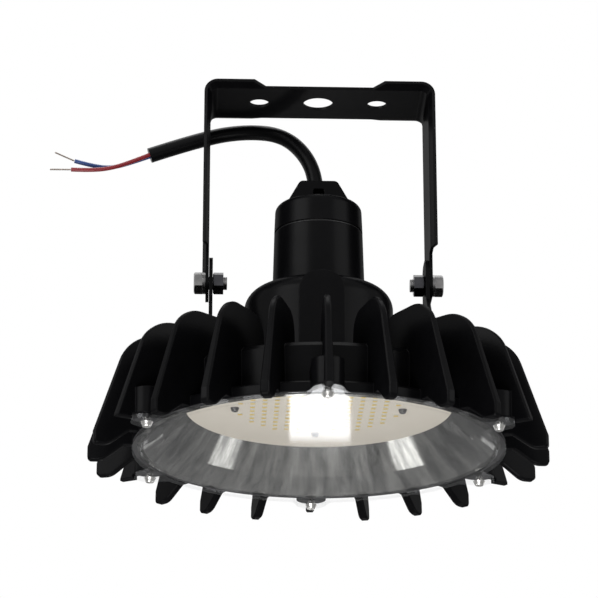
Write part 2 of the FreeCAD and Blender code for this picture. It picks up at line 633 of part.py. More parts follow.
def make_fin(name, foot, heel, notch):
    """One fin, pointing forwards: side profile and drafted section in common, edges bevelled."""
    side_view = new_body(name + "_side_view")
    wall = "-(Size.DrumRadius - Size.DrumWall / 2)"
    rim = "-(Size.RimRadius - Size.RimBevel)"
    profile = pad(side_view, name + "_profile", outline(
        new_sketch(side_view, name + "_outline", "YZ_Plane"), [
            ("-Size.FinInner", "Size.FinTop"), ("-Size.FinShoulder", "Size.FinTop"),
            ("-Size.FinReach", "Size.FinSkirt"), ("-Size.FinReach", foot),
            ("-(%s)" % heel, foot), ("-(%s)" % notch, "Size.RimRise"),
            (rim, "Size.RimRise"), (rim, "Size.RimTop - Size.RimBevel"),
            (wall, "Size.RimTop - Size.RimBevel"), (wall, "Size.LedgeRise - Size.LedgeBevel"),
            ("-Size.FinInner", "Size.LedgeRise - Size.LedgeBevel")]),
        "2 * Size.FinThick", middle=True)

    def corner(edge, reach, height):
        ends = [vertex.Point for vertex in edge.Vertexes]
        return all(abs(end.y + reach) < 0.01 and abs(end.z - height) < 0.01 for end in ends)

    def lowest(edge, outermost):
        ends = [vertex.Point for vertex in edge.Vertexes]
        low = side_view.Shape.BoundBox.ZMin
        level = all(abs(end.z - low) < 0.01 for end in ends) and abs(ends[0].y - ends[-1].y) < 0.01
        return level and outermost == (abs(ends[0].y + size("FinReach")) < 0.01)

    outer = round_off(side_view, profile, name + "_outer_round", "Size.FinRound",
                      lambda edge: corner(edge, size("FinShoulder"), size("FinTop")))
    inner = round_off(side_view, outer, name + "_inner_round", "Size.FinInnerRound",
                      lambda edge: corner(edge, size("FinInner"), size("FinTop")))
    if foot.startswith("-"):
        toe = round_off(side_view, inner, name + "_toe_round", "Size.FinToeRound",
                        lambda edge: lowest(edge, True))
        round_off(side_view, toe, name + "_heel_round", "Size.FinHeelRound",
                  lambda edge: lowest(edge, False))
    section = new_body(name + "_section")
    low, high = "-Size.FinFoot", "Size.FinTop"
    narrow = "(Size.FinThick / 2 - (Size.FinTop + Size.FinFoot) * Size.FinDraft)"
    pad(section, name + "_wedge", outline(new_sketch(section, name + "_section_outline", "XZ_Plane"), [
        ("-Size.FinThick / 2", low), ("Size.FinThick / 2", low), (narrow, high), ("-" + narrow, high)]),
        "2 * Size.FinReach")
    plain = common(name + "_plain", [side_view, section])
    doc.recompute()
    bevelled = doc.addObject("Part::Chamfer", name + "_bevelled")
    bevelled.Base = plain
    edges = []
    for number, edge in enumerate(plain.Shape.Edges, start=1):
        ends = [vertex.Point for vertex in edge.Vertexes]
        lengthways = math.hypot(ends[0].y - ends[-1].y, ends[0].z - ends[-1].z) > 0.05
        outside = min(abs(end.y) for end in ends) > size("RimRadius")
        on_top = min(end.z for end in ends) > size("LedgeRise")
        if lengthways and (outside or on_top):
            edges.append((number, size("FinEdge"), size("FinEdge")))
    bevelled.Edges = edges
    return bevelled


def cast_boss(body):
    """Round bosses for the cover screws, each joined to the drum by a thick web."""
    ears = new_sketch(body, "boss_round_sketch", "XY_Plane", "Size.RimRise")
    circle(ears, "0", "-Size.EarCircle", "Size.EarRadius")
    height = "Size.BossTop - Size.RimRise"
    boss = pad(body, "boss_round", ears, height)
    web = outline(new_sketch(body, "boss_web_sketch", "XY_Plane", "Size.RimRise"), [
        ("-Size.EarRadius", "-Size.EarCircle"), ("Size.EarRadius", "-Size.EarCircle"),
        ("Size.EarRadius", "-(Size.DrumRadius - Size.DrumWall / 4)"),
        ("-Size.EarRadius", "-(Size.DrumRadius - Size.DrumWall / 4)")])
    joined = pad(body, "boss_web", web, height)
    return [boss, joined]


def cast_panel():
    """The shallow arched panel on the front of the hub."""
    body = new_body("hub_panel")
    back = "(Size.HubRadius - Size.HubWall / 2)"
    raised = pad(body, "panel_pad", outline(
        new_sketch(body, "panel_outline", "XZ_Plane", "Size.HubRadius + Size.PanelStand"), [
            ("-Size.PanelHalf", "Size.LedgeRise - 1"), ("Size.PanelHalf", "Size.LedgeRise - 1"),
            ("Size.PanelHalf", "Size.PanelTop"), ("-Size.PanelHalf", "Size.PanelTop")]),
        "Size.HubRadius + Size.PanelStand - sqrt(%s * %s - Size.PanelHalf * Size.PanelHalf)"
        % (back, back), back=True)
    top = size("PanelTop")
    round_off(body, raised, "panel_arch", "0.9 * Size.PanelHalf",
              lambda edge: all(abs(vertex.Z - top) < 0.01 for vertex in edge.Vertexes)
              and abs(edge.Vertexes[0].Y - edge.Vertexes[-1].Y) > 0.5 * size("PanelStand"))
    return body


def make_heat_sink():
    core = make_heat_sink_core()
    first, second = cast_boss(core)
    repeat(core, "boss_ring", [first, second], "Size.EarCount")
    revolve(core, "mouth_cut", [
        ("0", "Size.RimRise - 1"), (MOUTH, "Size.RimRise - 1"), (MOUTH, "Size.RimRise"),
        (RECESS, "Size.RimTop"), ("0", "Size.RimTop")], cut=True)
    open_fin = make_fin("open_fin", "-Size.FinFoot", "Size.FinReach - Size.FinHeel",
                        "Size.CoverRadius + Size.FinClear")
    ear_fin = make_fin("ear_fin", "Size.EarFinFoot", "Size.EarCircle + Size.EarRadius + Size.EarClear",
                       "Size.EarCircle + Size.EarRadius + Size.EarClear")
    fins = []
    for place in range(int(size("FinCount"))):
        over_ear = place * int(size("EarCount")) % int(size("FinCount")) == 0
        copy = doc.addObject("App::Link", "fin_%02d" % place)
        copy.LinkedObject = ear_fin if over_ear else open_fin
        copy.LinkTransform = True
        copy.setExpression("Placement.Rotation.Angle", "%d * 360 / Size.FinCount" % place)
        fins.append(copy)
    solid = fuse("heat_sink_blank", [core] + fins + [cast_panel()])
    holes = []
    for place in range(int(size("EarCount"))):
        bore = cylinder("cover_screw_bore_%d" % place, "Size.CoverScrewSize / 2", COVER_SCREW_LENGTH)
        swing = "(%d * 360 / Size.EarCount - 90)" % place
        bore.setExpression("Placement.Base.x", "Size.EarCircle * cos(%s)" % swing)
        bore.setExpression("Placement.Base.y", "Size.EarCircle * sin(%s)" % swing)
        bore.setExpression("Placement.Base.z", "Size.RimRise - 1")
        holes.append(bore)
    for side in (1, -1):
        for flank in (1, -1):
            bore = cylinder("foot_screw_bore_%d" % len(holes), "Size.FootScrewSize / 2",
                            "Size.FootScrewDepth")
            bore.setExpression("Placement.Base.x", "%d * (%s)" % (side, FOOT_SCREW_REACH))
            bore.setExpression("Placement.Base.y", "%d * Size.FootScrewPitch / 2" % flank)
            bore.setExpression("Placement.Base.z", "Size.LedgeRise - Size.FootScrewDepth")
            holes.append(bore)
    return keep(seat(cut("heat_sink", solid, fuse("heat_sink_holes", holes))), "heat_sink_housing")


make_heat_sink()


# ---- light board, reflector and clear cover --------------------------------------------------
BOARD_FACE = "(Size.FloorRise - Size.SheetThick - Size.BoardThick)"


def around(thing, circle_radius, place, count, start, rise):
    """Stand a sub-part on a circle about the lamp's axis."""
    swing = "(%d * 360 / (%s) + %s)" % (place, count, start)
    return seat(thing, rise, "%s * cos(%s)" % (circle_radius, swing),
                "%s * sin(%s)" % (circle_radius, swing))


def make_board():
    sheet_body = turned("thermal_sheet_body", [
        ("Size.WireHole / 2", "0"), ("Size.BoardRadius", "0"),
        ("Size.BoardRadius", "Size.SheetThick"), ("Size.WireHole / 2", "Size.SheetThick")])
    board = new_body("led_board_body")
    disc = circle(new_sketch(board, "board_disc_sketch", "XY_Plane"), "0", "0", "Size.BoardRadius")
    pad(board, "board_disc", disc, "Size.BoardThick")
    for name, body in (("thermal_sheet", sheet_body), ("led_board", board)):
        bores = new_sketch(body, name + "_bores_sketch", "XY_Plane")
        for across, along in ((1, 0), (0, 1), (-1, 0), (0, -1)):
            circle(bores, "%d * Size.BoardScrewCircle" % across, "%d * Size.BoardScrewCircle" % along,
                   "Size.BoardScrewSize / 2")
        pocket(body, name + "_bores", bores, "4 * Size.BoardThick", middle=True)
        keep(body, name)
    seat(sheet_body, "Size.FloorRise - Size.SheetThick")
    seat(board, BOARD_FACE)


def make_board_screws():
    screws = []
    for place in range(4):
        name = "board_screw_%d" % place
        head = turned(name + "_head", [
            ("0", "-0.6 * Size.BoardScrewSize"), ("0.7 * Size.BoardScrewSize", "-0.6 * Size.BoardScrewSize"),
            ("0.9 * Size.BoardScrewSize", "0"), ("0", "0")])
        shank = cylinder(name + "_shank", "Size.BoardScrewSize / 2", "Size.BoardThick + Size.SheetThick")
        screws.append(around(fuse(name, [head, shank]), "Size.BoardScrewCircle", place, "4", "0",
                             BOARD_FACE))
    keep(group("board_screw_set", screws), "led_board_screws")


def make_chips():
    """Square light chips on a grid, leaving room round the four screws."""
    pitch, side, thick = size("ChipPitch"), size("ChipSize"), size("ChipThick")
    field, ring = size("ChipField"), size("BoardScrewCircle")
    reach = int(field / pitch) + 1
    chips = []
    for column in range(-reach, reach):
        for rank in range(-reach, reach):
            across, along = (column + 0.5) * pitch, (rank + 0.5) * pitch
            nearest = min(math.hypot(across - ring * one, along - ring * other)
                          for one, other in ((1, 0), (0, 1), (-1, 0), (0, -1)))
            if math.hypot(across, along) < field and nearest > pitch:
                chips.append(Part.makeBox(side, side, thick,
                                          Vector(across - side / 2, along - side / 2, -thick)))
    field_of_chips = doc.addObject("Part::Feature", "chip_field")
    field_of_chips.Shape = Part.makeCompound(chips)
    seat(field_of_chips, BOARD_FACE)
    keep(field_of_chips, "led_chips")


def make_reflector():
    wall = "1.25 * Size.ReflectorWall"
    body = turned("reflector_body", [
        ("Size.ReflectorNeck", BOARD_FACE), ("Size.ReflectorWaist", "Size.ReflectorWaistRise"),
        ("Size.ReflectorMouth", "Size.RimRise - Size.ReflectorWall"),
        ("Size.ReflectorRim", "Size.RimRise - Size.ReflectorWall"),
        ("Size.ReflectorRim", "Size.RimRise"), ("Size.ReflectorMouth + Size.ReflectorWall / 2", "Size.RimRise"),
        ("Size.ReflectorWaist + " + wall, "Size.ReflectorWaistRise + Size.ReflectorWall / 3"),
        ("Size.ReflectorNeck + " + wall, BOARD_FACE)])
    keep(seat(body), "reflector")


def make_cover():
    """Clear moulded cover: a set-in window, a thicker rim and six screw ears."""
    body = new_body("cover_body")
    revolve(body, "cover_turn", [
        ("0", "Size.CoverSink"), ("Size.CoverWindow", "Size.CoverSink"),
        ("Size.CoverWindow + Size.CoverSink", "0"), ("Size.CoverRadius", "0"),
        ("Size.CoverRadius", "Size.CoverThick"), ("0", "Size.CoverThick")])
    ear = new_sketch(body, "ear_sketch", "XY_Plane")
    circle(ear, "0", "-Size.EarCircle", "Size.EarRadius")
    round_ear = pad(body, "ear_round", ear, "Size.CoverThick")
    web = outline(new_sketch(body, "ear_web_sketch", "XY_Plane"), [
        ("-Size.EarRadius", "-Size.EarCircle"), ("Size.EarRadius", "-Size.EarCircle"),
        ("1.5 * Size.EarRadius", "-(Size.CoverRadius - 2 * Size.CoverThick)"),
        ("-1.5 * Size.EarRadius", "-(Size.CoverRadius - 2 * Size.CoverThick)")])
    web_pad = pad(body, "ear_web", web, "Size.CoverThick")
    bore = new_sketch(body, "ear_bore_sketch", "XY_Plane")
    circle(bore, "0", "-Size.EarCircle", "Size.CoverScrewSize / 2")
    bored = pocket(body, "ear_bore", bore, "4 * Size.CoverThick", middle=True)
    repeat(body, "ear_ring", [round_ear, web_pad, bored], "Size.EarCount")
    keep(seat(body), "clear_cover")
    inner = "Size.ReflectorRim + Size.SealGap"
    seal = turned("cover_seal_body", [
        (inner, "0"), (inner + " + Size.SealWidth", "0"),
        (inner + " + Size.SealWidth", "Size.RimRise - Size.CoverThick"),
        (inner, "Size.RimRise - Size.CoverThick")])
    keep(seat(seal, "Size.CoverThick"), "cover_seal")


def make_cover_screws():
    """Pan head screws with a cross recess, heads down on the cover's ears."""
    screws = []
    for place in range(int(size("EarCount"))):
        name = "cover_screw_%d" % place
        head = turned(name + "_head", [
            ("0", "-Size.CoverScrewHeadRise"),
            ("0.36 * Size.CoverScrewHead", "-Size.CoverScrewHeadRise"),
            ("Size.CoverScrewHead / 2", "0"), ("0", "0")])
        shank = cylinder(name + "_shank", "Size.CoverScrewSize / 2",
                         "Size.RimRise - 1 + " + COVER_SCREW_LENGTH)
        screws.append(around(fuse(name, [head, shank]), "Size.EarCircle", place, "Size.EarCount",
                             "-90", "0"))
    keep(group("cover_screw_set", screws), "cover_screws")


make_board()
make_board_screws()
make_chips()
make_reflector()
make_cover()
make_cover_screws()


# ---- driver housing, cap and seals ------------------------------------------------------------
CAP_FOOT = "(Size.NeckTop + Size.SealThick)"
CAP_SPIGOT = "(Size.NeckHead - Size.NeckWall)"


def make_driver_housing():
    bore = "(Size.SpigotRadius - Size.NeckWall)"
    step = "(Size.NeckTop - Size.SpigotDepth - 1)"
    foot = "Size.HubTop + Size.SealThick"
    body = turned("driver_housing_body", [
        (bore, "Size.HubTop - Size.SpigotDepth"), ("Size.SpigotRadius", "Size.HubTop - Size.SpigotDepth"),
        ("Size.SpigotRadius", foot), ("Size.NeckFoot", foot), ("Size.NeckHead", "Size.NeckTop"),
        (CAP_SPIGOT, "Size.NeckTop"), (CAP_SPIGOT, step), (bore, step)])
    keep(seat(body), "driver_housing")
    hub_seal = turned("hub_seal_body", [
        ("Size.SpigotRadius", "0"), ("Size.NeckFoot - Size.SealInset", "0"),
        ("Size.NeckFoot - Size.SealInset", "Size.SealThick"), ("Size.SpigotRadius", "Size.SealThick")])
    keep(seat(hub_seal, "Size.HubTop"), "hub_seal")
    inner = CAP_SPIGOT + " - Size.SpigotPlay"
    cap_seal = turned("cap_seal_body", [
        (inner, "0"), ("Size.NeckHead - Size.SealInset", "0"),
        ("Size.NeckHead - Size.SealInset", "Size.SealThick"), (inner, "Size.SealThick")])
    keep(seat(cap_seal, "Size.NeckTop"), "cap_seal")


def make_top_cap():
    """A cup with a rounded shoulder, a lug with an eye, and the cable entry boss behind it."""
    body = new_body("top_cap_body")
    spigot = CAP_SPIGOT + " - Size.SpigotPlay"
    bore = "(%s - Size.NeckWall)" % spigot
    lid = "Size.CapTop - Size.NeckWall"
    cup = revolve(body, "cap_turn", [
        (bore, "Size.NeckTop - Size.SpigotDepth"), (spigot, "Size.NeckTop - Size.SpigotDepth"),
        (spigot, CAP_FOOT), ("Size.NeckHead", CAP_FOOT), ("Size.CapShoulder", "Size.CapTop"),
        ("0", "Size.CapTop"), ("0", lid), (bore, lid)])
    round_off(body, cup, "cap_shoulder_round", "Size.CapRound",
              lambda edge: at_circle(edge, size("CapShoulder"), size("CapTop")))
    lug = pad(body, "lug", outline(new_sketch(body, "lug_outline", "XZ_Plane"), [
        ("-Size.LugFoot", "Size.CapTop - Size.NeckWall / 2"), ("Size.LugFoot", "Size.CapTop - Size.NeckWall / 2"),
        ("Size.LugHead", "Size.LugTop"), ("-Size.LugHead", "Size.LugTop")]), "Size.LugThick", middle=True)
    top = size("LugTop")
    round_off(body, lug, "lug_round", "Size.LugRound",
              lambda edge: all(abs(vertex.Z - top) < 0.01 for vertex in edge.Vertexes)
              and abs(edge.Vertexes[0].Y - edge.Vertexes[-1].Y) > 0.5 * size("LugThick"))
    pocket(body, "lug_eye", outline(new_sketch(body, "lug_eye_outline", "XZ_Plane"), [
        ("-Size.EyeWidth / 2", "Size.EyeFoot"), ("Size.EyeWidth / 2", "Size.EyeFoot"),
        ("Size.EyeNarrow / 2", "Size.EyeTop"), ("-Size.EyeNarrow / 2", "Size.EyeTop")]),
        "2 * Size.LugThick", middle=True)
    boss = new_sketch(body, "entry_boss_sketch", "XY_Plane", "Size.CapTop - Size.NeckWall / 2")
    circle(boss, "0", "Size.EntryOffset", "Size.EntryRadius")
    pad(body, "entry_boss", boss, "Size.EntryTop - Size.CapTop + Size.NeckWall / 2")
    bore_sketch = new_sketch(body, "entry_bore_sketch", "XY_Plane", "Size.EntryTop + 1")
    circle(bore_sketch, "0", "Size.EntryOffset", "Size.CableSize / 2")
    pocket(body, "entry_bore", bore_sketch, "Size.EntryTop + 2 - Size.CapTop + Size.NeckWall")
    keep(seat(body), "top_cap")
    bush = turned("cable_bush_body", [
        ("Size.CableSize / 2", "0"), ("Size.BushRadius", "0"),
        ("Size.BushRadius", "0.5 * (Size.BushTop - Size.EntryTop)"),
        ("Size.CableSize / 2 + 0.6", "Size.BushTop - Size.EntryTop"),
        ("Size.CableSize / 2", "Size.BushTop - Size.EntryTop")])
    keep(seat(bush, "Size.EntryTop", along="Size.EntryOffset"), "cable_bush")


def make_driver():
    """The driver board on its holder, its tall parts, and the lead down to the light board."""
    holder = turned("driver_holder_body", [
        ("Size.LeadSize / 2", "0"), ("Size.DriverWidth / 2", "0"),
        ("Size.DriverWidth / 2", "Size.DriverFoot - Size.LedgeRise"),
        ("Size.LeadSize / 2", "Size.DriverFoot - Size.LedgeRise")])
    keep(seat(holder, "Size.LedgeRise"), "driver_holder")
    behind = "(Size.LeadSize / 2 + Size.DriverBoard)"
    board = doc.addObject("Part::Box", "driver_board_box")
    board.setExpression("Length", "Size.DriverWidth")
    board.setExpression("Width", "Size.DriverBoard")
    board.setExpression("Height", "Size.DriverHead - Size.DriverFoot")
    seat(board, "Size.DriverFoot", "-Size.DriverWidth / 2", "-" + behind)
    keep(board, "driver_board")
    lead = cylinder("board_lead_rod", "Size.LeadSize / 2",
                    "Size.DriverFoot - Size.FloorRise + Size.SheetThick + 2 * Size.LeadSize")
    keep(seat(lead, "Size.FloorRise - Size.SheetThick"), "board_lead")
    parts = []
    heights = (("coil", 0.62, 0.0), ("filter", 0.40, 0.34), ("reserve", 0.30, 0.62))
    for name, share, lift in heights:
        rise = "Size.DriverFoot + 0.12 * Size.DriverWidth + %s * (Size.DriverHead - Size.DriverFoot)" % lift
        if name == "coil":
            form = doc.addObject("Part::Box", "driver_" + name)
            form.setExpression("Length", "%s * Size.DriverWidth" % share)
            form.setExpression("Width", "0.3 * Size.DriverWidth")
            form.setExpression("Height", "0.6 * Size.DriverWidth")
            seat(form, rise, "-%s / 2 * Size.DriverWidth" % share, "-(%s + 0.3 * Size.DriverWidth)" % behind)
        else:
            form = cylinder("driver_" + name, "%s / 2 * Size.DriverWidth" % share, "0.5 * Size.DriverWidth")
            seat(form, rise, "0", "-(%s + %s / 2 * Size.DriverWidth)" % (behind, share))
        parts.append(form)
    keep(group("driver_part_set", parts), "driver_parts")


make_driver_housing()
make_top_cap()
make_driver()


# ---- supply cable ---------------------------------------------------------------------------------
# Points of the route in millimetres: x, y, and height above the cover's front face.
SHEATH_ROUTE = [(0, 14.6, 157.5), (0, 14.6, 183), (-7, 18, 204), (-22, 25, 220.5),
                (-45, 33, 226), (-72, 36, 222.5), (-107.5, 36, 209.5)]
RED_ROUTE = [(-107.5, 34.5, 209.5), (-119.5, 34, 204), (-131.5, 33, 199.2),
             (-144, 32, 197), (-157.7, 31.5, 197.2)]
RED_TIP_ROUTE = [(-157.9, 31.5, 197.2), (-171.2, 31, 196.9)]
BLUE_ROUTE = [(-107.5, 37.5, 209.5), (-120.5, 37.4, 204.4), (-132.5, 37, 200.8),
              (-144.5, 36.5, 202), (-155.8, 35.5, 204.8)]
BLUE_TIP_ROUTE = [(-156.1, 35.5, 204.9), (-168.5, 34.5, 210.2)]
ARC_SHARE = 0.45


def soft_path(route):
    """Straight runs joined by tangent arcs, each as large as its two runs allow."""
    spots = [Vector(*spot) for spot in route]
    edges, start, tightest = [], spots[0], None
    for before, corner, after in zip(spots, spots[1:], spots[2:]):
        back, ahead = before - corner, after - corner
        shorter = min(back.Length, ahead.Length)
        back.normalize()
        ahead.normalize()
        half_turn = (math.pi - back.getAngle(ahead)) / 2
        radius = ARC_SHARE * shorter / math.tan(half_turn)
        tightest = radius if tightest is None else min(tightest, radius)
        leave, join = corner + back * (ARC_SHARE * shorter), corner + ahead * (ARC_SHARE * shorter)
        bisector = (back + ahead).normalize()
        middle = corner + bisector * (radius / math.cos(half_turn) - radius)
        edges.append(Part.LineSegment(start, leave).toShape())
        edges.append(Part.Arc(leave, middle, join).toShape())
        start = join
    edges.append(Part.LineSegment(start, spots[-1]).toShape())
    return Part.Wire(edges), tightest


def make_cord(name, route, thickness):
    path, tightest = soft_path(route)
    first = (Vector(*route[1]) - Vector(*route[0])).normalize()
    ring = Part.Wire(Part.makeCircle(size(thickness) / 2, Vector(*route[0]), first))
    tube = doc.addObject("Part::Feature", name + "_tube")
    tube.Shape = path.makePipeShell([ring], True, False)
    expected = path.Length * math.pi * size(thickness) ** 2 / 4
    if abs(tube.Shape.Volume / expected - 1) > 0.01:
        raise SystemExit("cord volume: " + name)
    print("%s: length %.1f mm, tightest arc %s mm"
          % (name, path.Length, "none" if tightest is None else "%.1f" % tightest))
    keep(seat(tube), name)


make_cord("supply_cable", SHEATH_ROUTE, "CableSize")
make_cord("red_core", RED_ROUTE, "CoreSize")
make_cord("red_tip", RED_TIP_ROUTE, "TipSize")
make_cord("blue_core", BLUE_ROUTE, "CoreSize")
make_cord("blue_tip", BLUE_TIP_ROUTE, "TipSize")


# ---- check and export -----------------------------------------------------------------------
def finish():
    """Stop on any failed object, then write one STEP file for each node."""
    doc.recompute()
    for thing in doc.Objects:
        if {"Invalid", "Error"} & set(thing.State):
            raise SystemExit("failed: %s %s %s" % (thing.Name, thing.State, thing.getStatusString()))
    os.makedirs("parts", exist_ok=True)
    for thing in nodes:
        shape = thing.Shape
        if shape.isNull() or not shape.isValid() or not shape.Solids:
            raise SystemExit("bad shape: " + thing.Label)
        shape.exportStep("parts/%s.step" % thing.Label)
        print("%-22s %2d solids %10.0f mm3" % (thing.Label, len(shape.Solids), shape.Volume))


finish()
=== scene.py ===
"""High bay light: finishes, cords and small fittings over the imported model.

Metres, +Z up.  The origin is the centre of the yoke's middle fixing hole.  The tilt axis lies
along X, and the cable entry is on the +Y side.
"""
import math

import bmesh
import bpy
from mathutils import Matrix, Vector


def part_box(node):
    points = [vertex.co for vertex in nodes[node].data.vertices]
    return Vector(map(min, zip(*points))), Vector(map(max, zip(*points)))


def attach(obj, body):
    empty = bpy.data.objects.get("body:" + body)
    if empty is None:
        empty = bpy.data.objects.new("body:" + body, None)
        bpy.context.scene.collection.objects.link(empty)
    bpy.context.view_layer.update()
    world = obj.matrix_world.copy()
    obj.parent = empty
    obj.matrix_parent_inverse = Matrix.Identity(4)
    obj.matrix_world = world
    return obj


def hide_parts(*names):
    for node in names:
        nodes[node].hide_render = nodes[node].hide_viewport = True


MM = 0.001

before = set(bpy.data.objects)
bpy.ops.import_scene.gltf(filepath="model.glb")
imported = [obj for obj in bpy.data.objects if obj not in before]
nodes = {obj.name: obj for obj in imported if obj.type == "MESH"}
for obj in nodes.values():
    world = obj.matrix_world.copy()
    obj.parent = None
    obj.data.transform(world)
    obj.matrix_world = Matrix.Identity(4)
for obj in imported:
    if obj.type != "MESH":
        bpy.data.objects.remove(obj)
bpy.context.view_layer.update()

COVER_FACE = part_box("clear_cover")[0].z
WHITE = (1.0, 1.0, 1.0)


def add_object(name, data):
    """Put an object with this data into the scene."""
    added = bpy.data.objects.new(name, data)
    bpy.context.scene.collection.objects.link(added)
    return added


def add_mesh(name, form, material):
    """Close a bmesh and put it into the scene as an object of one material."""
    data = bpy.data.meshes.new(name)
    form.to_mesh(data)
    form.free()
    data.materials.append(material)
    return add_object(name, data)


# ---- material tools -----------------------------------------------------------------------------
class Number:
    """A socket that carries a number and takes part in plain arithmetic."""

    def __init__(self, shader, socket):
        self.shader = shader
        self.socket = socket

    def __add__(self, other):
        return self.shader.maths("ADD", self, other)

    __radd__ = __add__

    def __sub__(self, other):
        return self.shader.maths("SUBTRACT", self, other)

    def __rsub__(self, other):
        return self.shader.maths("SUBTRACT", other, self)

    def __mul__(self, other):
        return self.shader.maths("MULTIPLY", self, other)

    __rmul__ = __mul__

    def __truediv__(self, other):
        return self.shader.maths("DIVIDE", self, other)

    def __gt__(self, other):
        return self.shader.maths("GREATER_THAN", self, other)

    def between(self, low, high):
        """Bring a number from 0..1 to low..high."""
        return low + (high - low) * self


class Shader:
    """The nodes of one material, or of the world."""

    def __init__(self, owner, output):
        owner.use_nodes = True
        self.owner = owner
        self.tree = owner.node_tree
        self.tree.nodes.clear()
        self.output = self.node(output)

    def node(self, kind, settings=None, values=None):
        """Add a node: its settings first, then the values or links of its sockets."""
        added = self.tree.nodes.new("ShaderNode" + kind)
        for key, setting in (settings or {}).items():
            setattr(added, key, setting)
        for key, value in (values or {}).items():
            self.feed(added.inputs[key], value)
        return added

    def feed(self, socket, value):
        """Link a socket to another one, or give it a plain value."""
        if isinstance(value, Number):
            value = value.socket
        if isinstance(value, bpy.types.NodeSocket):
            self.tree.links.new(value, socket)
        elif isinstance(value, tuple) and len(value) == 3 and len(socket.default_value) == 4:
            socket.default_value = (*value, 1.0)
        else:
            socket.default_value = value

    def maths(self, operation, one, other=0.0):
        """One Math node on one or two numbers."""
        added = self.node("Math", {"operation": operation}, {0: one, 1: other})
        return Number(self, added.outputs[0])

    def close(self, last):
        """Show the last shader node, and give back the material or the world."""
        self.feed(self.output.inputs["Surface"], last.outputs[0])
        return self.owner


class Finish(Shader):
    """One material, built node by node."""

    def __init__(self, name):
        super().__init__(bpy.data.materials.new(name), "OutputMaterial")

    def place(self):
        """Where a point lies on the part, in metres."""
        return self.node("TexCoord").outputs["Object"]

    def axis(self, letter):
        """How far a point lies along one axis of the part, in metres."""
        added = self.node("SeparateXYZ", None, {0: self.place()})
        return Number(self, added.outputs[letter])

    def noise(self, scale, detail=2.0, roughness=0.5, vector=None):
        """Soft cloudy noise from 0 to 1; scale is in features per metre."""
        added = self.node("TexNoise", None, {
            "Vector": vector or self.place(), "Scale": scale, "Detail": detail,
            "Roughness": roughness})
        return Number(self, added.outputs["Fac"])

    def blend(self, share, one, other):
        """Mix two colours."""
        added = self.node("Mix", {"data_type": "RGBA"}, {0: share, 6: one, 7: other})
        return added.outputs[2]

    def bump(self, height, depth, normal=None):
        """Relief of a given depth in metres, over another normal where one is given."""
        values = {"Height": height, "Distance": depth, "Strength": 1.0}
        if normal is not None:
            values["Normal"] = normal
        return self.node("Bump", None, values).outputs["Normal"]

    def soft_edges(self, radius):
        """A normal that rounds sharp edges over a given radius in metres."""
        return self.node("Bevel", {"samples": 6}, {"Radius": radius}).outputs["Normal"]

    def surface(self, **values):
        """Close the material with one Principled shader; a name's spaces are underscores."""
        renamed = {key.replace("_", " "): value for key, value in values.items()}
        return self.close(self.node("BsdfPrincipled", None, renamed))

    def glow(self, strength):
        """Close the material with plain white light."""
        return self.close(self.node("Emission", None, {"Color": WHITE, "Strength": strength}))


# ---- finishes -----------------------------------------------------------------------------------
CHIP_PITCH = 7.4 * MM
CHIP_WINDOW = 1.42 * MM  # from the middle of a chip to the side of its phosphor


def darker(tone, share):
    """A colour with this share of its light."""
    return tuple(share * part for part in tone)


def black_paint(name, peel, peel_depth, edge):
    """Satin black powder coat with a faint orange peel and softened edges."""
    finish = Finish(name)
    pebble = finish.noise(scale=peel, detail=3.0, roughness=0.55)
    cloud = finish.noise(scale=18.0)
    worn = finish.noise(scale=140.0, detail=4.0, roughness=0.6)
    colour = finish.blend(worn, (0.0022, 0.0022, 0.0026), (0.0048, 0.0048, 0.0054))
    relief = finish.bump(pebble, peel_depth, finish.soft_edges(edge))
    return finish.surface(Base_Color=colour, Roughness=0.5, Specular_IOR_Level=0.0,
                          Coat_Weight=cloud.between(0.08, 0.14), Coat_Roughness=0.28,
                          Normal=relief, Coat_Normal=relief)


def zinc_plate(name, dull, clean):
    """Zinc plating, finely mottled, with softened edges."""
    finish = Finish(name)
    mottle = finish.noise(scale=900.0, detail=3.0, roughness=0.6)
    stain = finish.noise(scale=160.0)
    return finish.surface(Base_Color=finish.blend(stain, dull, clean), Metallic=1.0,
                          Roughness=mottle.between(0.20, 0.42),
                          Normal=finish.bump(mottle, 0.01 * MM, finish.soft_edges(0.3 * MM)))


def bright_steel():
    """Bare bright steel, finely mottled."""
    finish = Finish("bright_steel")
    mottle = finish.noise(scale=700.0, detail=3.0, roughness=0.6)
    return finish.surface(Base_Color=(0.74, 0.73, 0.71), Metallic=1.0,
                          Roughness=mottle.between(0.16, 0.34),
                          Normal=finish.bump(mottle, 0.008 * MM))


def spun_reflector():
    """Polished spun sheet with fine turning rings and faint streaks down its wall."""
    ring_turns = 9000.0  # in radians per metre, so the rings stand 0.7 mm apart
    down_scale = 3.0  # small beside the angle, so that the noise is drawn out down the wall
    finish = Finish("spun_reflector")
    across, along = finish.axis("X"), finish.axis("Y")
    radius = finish.maths("SQRT", across * across + along * along)
    rings = finish.maths("SINE", radius * ring_turns)
    angle = finish.maths("ARCTAN2", across, along)
    down_the_wall = finish.node("CombineXYZ", None, {"X": angle, "Y": radius * down_scale}).outputs[0]
    streak = finish.noise(scale=9.0, detail=4.0, roughness=0.65, vector=down_the_wall)
    ripple = finish.noise(scale=3.2, vector=down_the_wall)
    colour = finish.blend(streak.between(-1.2, 2.2), (0.12, 0.12, 0.115), (0.44, 0.44, 0.42))
    relief = finish.bump(ripple, 0.9 * MM, finish.bump(rings, 0.0015 * MM))
    return finish.surface(Base_Color=colour, Metallic=1.0,
                          Roughness=streak.between(0.14, 0.05), Normal=relief)


